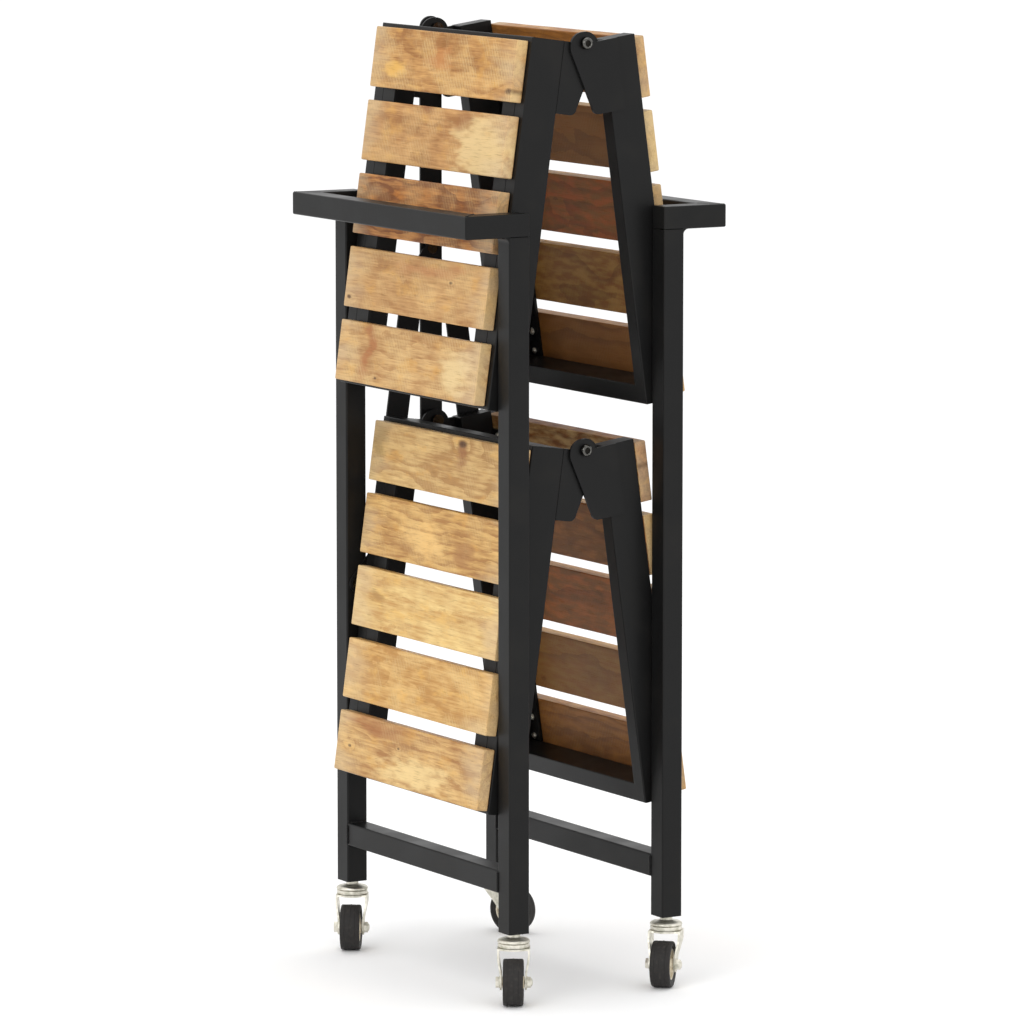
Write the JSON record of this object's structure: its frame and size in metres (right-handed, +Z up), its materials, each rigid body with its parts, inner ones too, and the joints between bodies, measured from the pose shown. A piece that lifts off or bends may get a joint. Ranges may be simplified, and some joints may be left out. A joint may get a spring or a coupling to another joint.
{
  "type": "folding two-tier trolley",
  "caption": "Two-tier serving trolley of black square tube with slatted wooden shelves that fold up at a centre ridge, handles at both ends and swivel casters.",
  "frame": {"origin": "on the floor, under the middle of the whole folded trolley", "axes": "+X from the left end frame to the right one, the way it opens; +Y from the front to the back, where the centre link is; +Z up"},
  "size_m": [0.3246, 0.4154, 1.0397],
  "materials": {
    "black_paint": "satin black powder coat",
    "wood_honey": "clear satin lacquer",
    "wood_yellow": "clear satin lacquer",
    "wood_red": "clear satin lacquer",
    "wood_tan": "clear satin lacquer",
    "bolts": "bright plated",
    "zinc_steel": "zinc plated pressed steel",
    "tyre": "matt",
    "hub": "moulded"
  },
  "bodies": {
    "left_end_frame": {"left_legs": "black_paint", "left_cross_rail": "black_paint", "left_handle": "black_paint", "left_pivot_bolts": "bolts", "left_caster_stems": "zinc_steel"},
    "right_end_frame": {"right_legs": "black_paint", "right_cross_rail": "black_paint", "right_handle": "black_paint", "right_pivot_bolts": "bolts", "right_caster_stems": "zinc_steel"},
    "upper_left_half": {"upper_left_frame": "black_paint", "upper_left_slat_1": "wood_honey", "upper_left_slat_2": "wood_yellow", "upper_left_slat_3": "wood_red", "upper_left_slat_4": "wood_tan", "upper_left_slat_5": "wood_tan", "upper_left_slat_screws": "zinc_steel", "upper_ridge_bolts": "bolts"},
    "upper_right_half": {"upper_right_frame": "black_paint", "upper_right_slat_1": "wood_red", "upper_right_slat_2": "wood_honey", "upper_right_slat_3": "wood_tan", "upper_right_slat_4": "wood_yellow", "upper_right_slat_5": "wood_red", "upper_right_slat_screws": "zinc_steel"},
    "lower_left_half": {"lower_left_frame": "black_paint", "lower_left_slat_1": "wood_yellow", "lower_left_slat_2": "wood_honey", "lower_left_slat_3": "wood_yellow", "lower_left_slat_4": "wood_tan", "lower_left_slat_5": "wood_tan", "lower_left_slat_screws": "zinc_steel", "lower_ridge_bolts": "bolts"},
    "lower_right_half": {"lower_right_frame": "black_paint", "lower_right_slat_1": "wood_red", "lower_right_slat_2": "wood_yellow", "lower_right_slat_3": "wood_tan", "lower_right_slat_4": "wood_yellow", "lower_right_slat_5": "wood_honey", "lower_right_slat_screws": "zinc_steel"},
    "link": {"centre_link": "black_paint", "link_pins": "bolts"},
    "left_stay_bar": {"left_stay": "black_paint"},
    "right_stay_bar": {"right_stay": "black_paint"},
    "front_left_caster": {"front_left_fork": "zinc_steel", "front_left_axle": "zinc_steel"},
    "front_left_wheel": {"front_left_tyre": "tyre", "front_left_hub": "hub"},
    "back_left_caster": {"back_left_fork": "zinc_steel", "back_left_axle": "zinc_steel"},
    "back_left_wheel": {"back_left_tyre": "tyre", "back_left_hub": "hub"},
    "front_right_caster": {"front_right_fork": "zinc_steel", "front_right_axle": "zinc_steel"},
    "front_right_wheel": {"front_right_tyre": "tyre", "front_right_hub": "hub"},
    "back_right_caster": {"back_right_fork": "zinc_steel", "back_right_axle": "zinc_steel"},
    "back_right_wheel": {"back_right_tyre": "tyre", "back_right_hub": "hub"}
  },
  "joints": [
    {"name": "fold", "type": "hinge", "parent": "left_end_frame", "child": "upper_left_half", "pos_m": [-0.09632, 0.011, 0.657], "axis": [0, 1, 0], "range_deg": [0, 82]},
    {"name": "upper_ridge", "type": "hinge", "parent": "upper_left_half", "child": "upper_right_half", "pos_m": [0, 0.011, 1.02619], "axis": [0, 1, 0], "range_deg": [-164, 0]},
    {"name": "upper_right_pivot", "type": "hinge", "parent": "upper_right_half", "child": "right_end_frame", "pos_m": [0.09632, 0.011, 0.657], "axis": [0, 1, 0], "range_deg": [0, 82]},
    {"name": "lower_left_pivot", "type": "hinge", "parent": "left_end_frame", "child": "lower_left_half", "pos_m": [-0.09632, 0.011, 0.221], "axis": [0, 1, 0], "range_deg": [0, 82]},
    {"name": "lower_ridge", "type": "hinge", "parent": "lower_left_half", "child": "lower_right_half", "pos_m": [0, 0.011, 0.59019], "axis": [0, 1, 0], "range_deg": [-164, 0]},
    {"name": "link_hang", "type": "hinge", "parent": "upper_left_half", "child": "link", "pos_m": [0, 0.011, 1.02619], "axis": [0, 1, 0], "range_deg": [-82, 0]},
    {"name": "left_stay_pivot", "type": "hinge", "parent": "left_end_frame", "child": "left_stay_bar", "pos_m": [-0.09632, 0.011, 0.413], "axis": [0, 1, 0], "range_deg": [0, 82]},
    {"name": "right_stay_pivot", "type": "hinge", "parent": "right_end_frame", "child": "right_stay_bar", "pos_m": [0.09632, 0.011, 0.369], "axis": [0, 1, 0], "range_deg": [-82, 0]},
    {"name": "front_left_swivel", "type": "hinge", "parent": "left_end_frame", "child": "front_left_caster", "pos_m": [-0.09632, -0.1665, 0.06], "axis": [0, 0, 1], "continuous": true},
    {"name": "front_left_roll", "type": "hinge", "parent": "front_left_caster", "child": "front_left_wheel", "pos_m": [-0.10586, -0.18177, 0.0255], "axis": [0.848, -0.5299, 0], "continuous": true},
    {"name": "back_left_swivel", "type": "hinge", "parent": "left_end_frame", "child": "back_left_caster", "pos_m": [-0.09632, 0.1885, 0.06], "axis": [0, 0, 1], "continuous": true},
    {"name": "back_left_roll", "type": "hinge", "parent": "back_left_caster", "child": "back_left_wheel", "pos_m": [-0.10638, 0.17358, 0.0255], "axis": [0.829, -0.5592, 0], "continuous": true},
    {"name": "front_right_swivel", "type": "hinge", "parent": "right_end_frame", "child": "front_right_caster", "pos_m": [0.09632, -0.1665, 0.06], "axis": [0, 0, 1], "continuous": true},
    {"name": "front_right_roll", "type": "hinge", "parent": "front_right_caster", "child": "front_right_wheel", "pos_m": [0.08427, -0.17988, 0.0255], "axis": [0.7431, -0.6691, 0], "continuous": true},
    {"name": "back_right_swivel", "type": "hinge", "parent": "right_end_frame", "child": "back_right_caster", "pos_m": [0.09632, 0.1885, 0.06], "axis": [0, 0, 1], "continuous": true},
    {"name": "back_right_roll", "type": "hinge", "parent": "back_right_caster", "child": "back_right_wheel", "pos_m": [0.10247, 0.17159, 0.0255], "axis": [0.9397, 0.342, 0], "continuous": true}
  ],
  "couplings": [
    {"joint": "upper_ridge", "follows": "fold", "ratio": -2},
    {"joint": "upper_right_pivot", "follows": "fold", "ratio": 1},
    {"joint": "lower_left_pivot", "follows": "fold", "ratio": 1},
    {"joint": "lower_ridge", "follows": "fold", "ratio": -2},
    {"joint": "link_hang", "follows": "fold", "ratio": -1},
    {"joint": "left_stay_pivot", "follows": "fold", "ratio": 1},
    {"joint": "right_stay_pivot", "follows": "fold", "ratio": -1}
  ]
}
